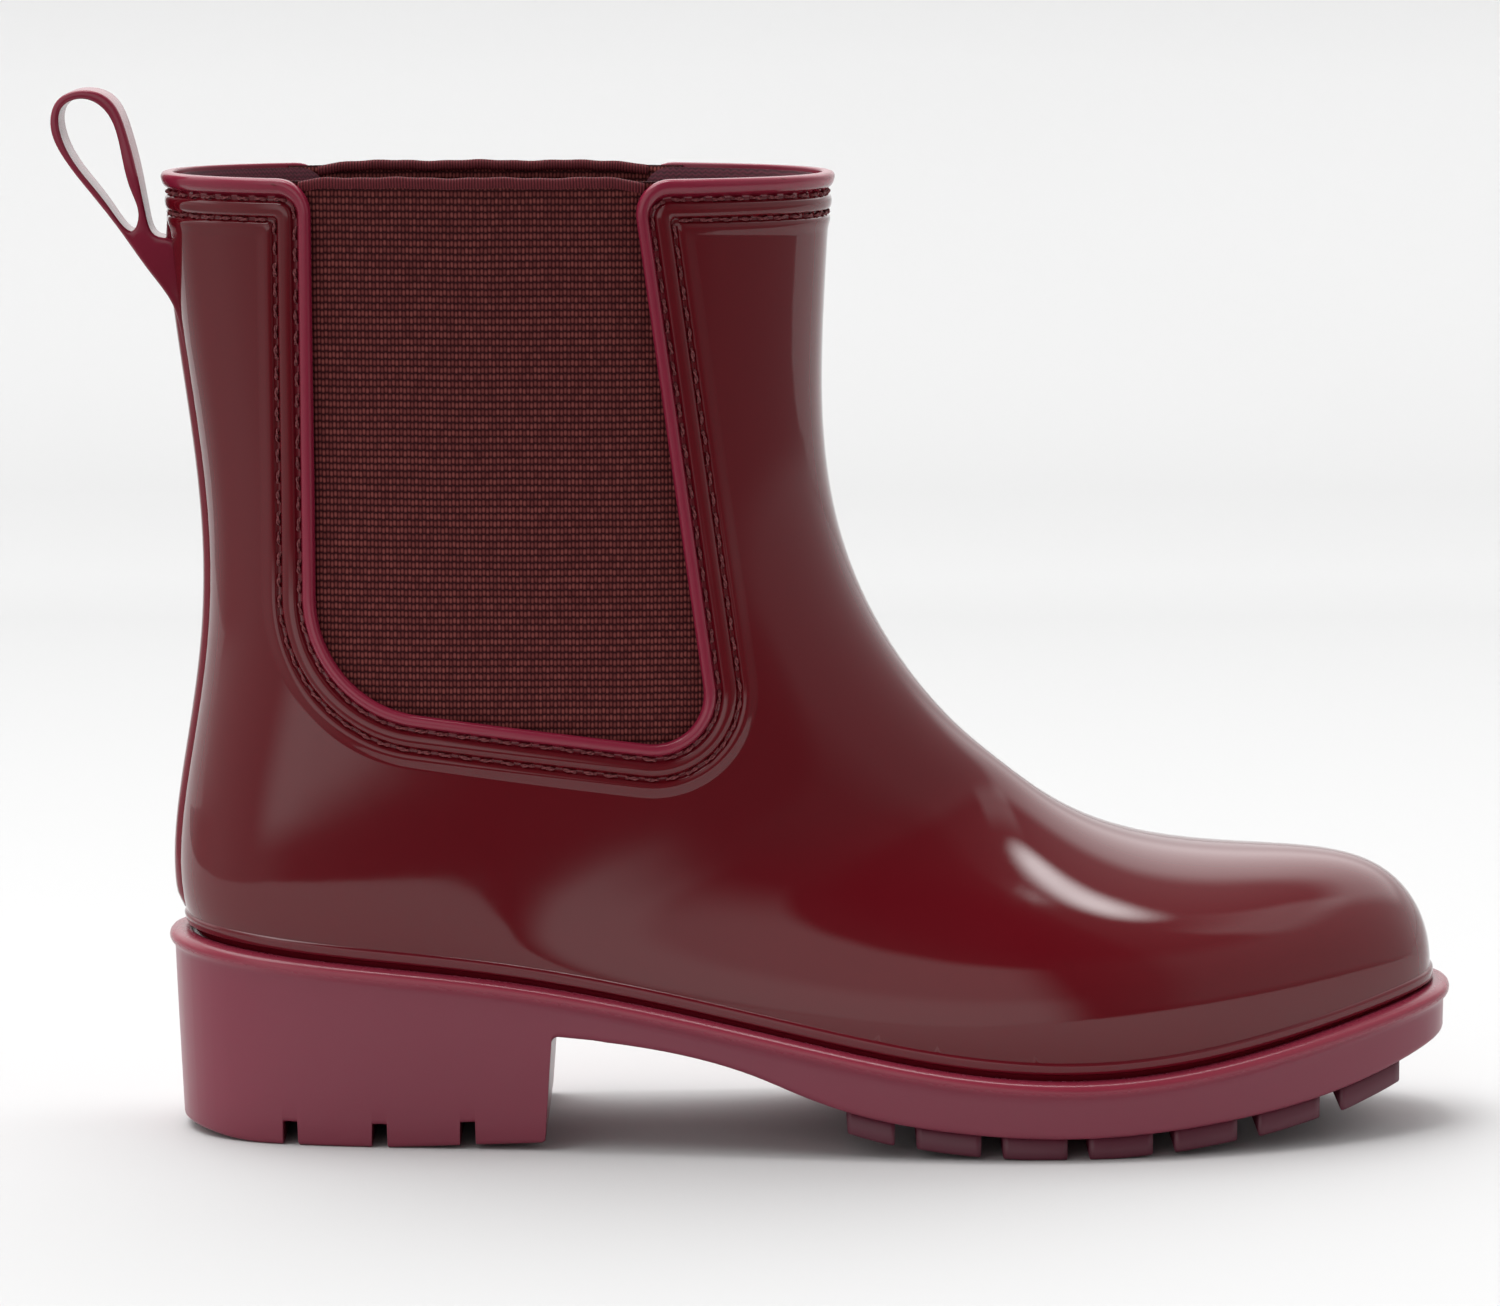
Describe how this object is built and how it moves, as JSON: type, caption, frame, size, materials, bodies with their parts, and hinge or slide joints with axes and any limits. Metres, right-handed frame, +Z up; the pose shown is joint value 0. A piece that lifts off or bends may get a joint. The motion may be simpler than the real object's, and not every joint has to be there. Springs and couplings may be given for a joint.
{
  "type": "rain boot",
  "caption": "Ankle-high moulded rain boot for the right foot, with a heeled and lugged sole, elastic side gussets edged by stitched grooves, and a pull loop at the back.",
  "frame": {"origin": "middle of the bounding box at the ground", "axes": "+X towards the toe, +Y towards the medial side of this right boot, +Z up the shaft"},
  "size_m": [0.2988, 0.0958, 0.2222],
  "materials": {
    "upper_pvc": "high gloss, dark burgundy",
    "sole_rubber": "satin plum red",
    "elastic": "ribbed woven elastic, matte",
    "lining": "brushed jersey",
    "foam": "matte foam",
    "board": "matte",
    "shank_steel": "plain",
    "core_plastic": "matte",
    "thread": "twisted thread"
  },
  "bodies": {
    "boot": {"upper_shell": "upper_pvc", "back_strip": "upper_pvc", "outsole": "sole_rubber", "gusset_lateral": "elastic", "gusset_medial": "elastic", "lining": "lining", "footbed_cover": "lining", "footbed_foam": "foam", "insole_board": "board", "shank": "shank_steel", "heel_core": "core_plastic", "needle_row_inner": "thread", "needle_row_outer": "thread", "bobbin_row_inner": "thread", "bobbin_row_outer": "thread"},
    "loop": {"pull_loop": "upper_pvc"}
  },
  "joints": [
    {"name": "loop_flex", "type": "hinge", "parent": "boot", "child": "loop", "pos_m": [-0.13073, -0.00027, 0.1904], "axis": [0, 1, 0], "range_deg": [-38, 10], "stiffness_Nm_per_rad": 0.03}
  ]
}
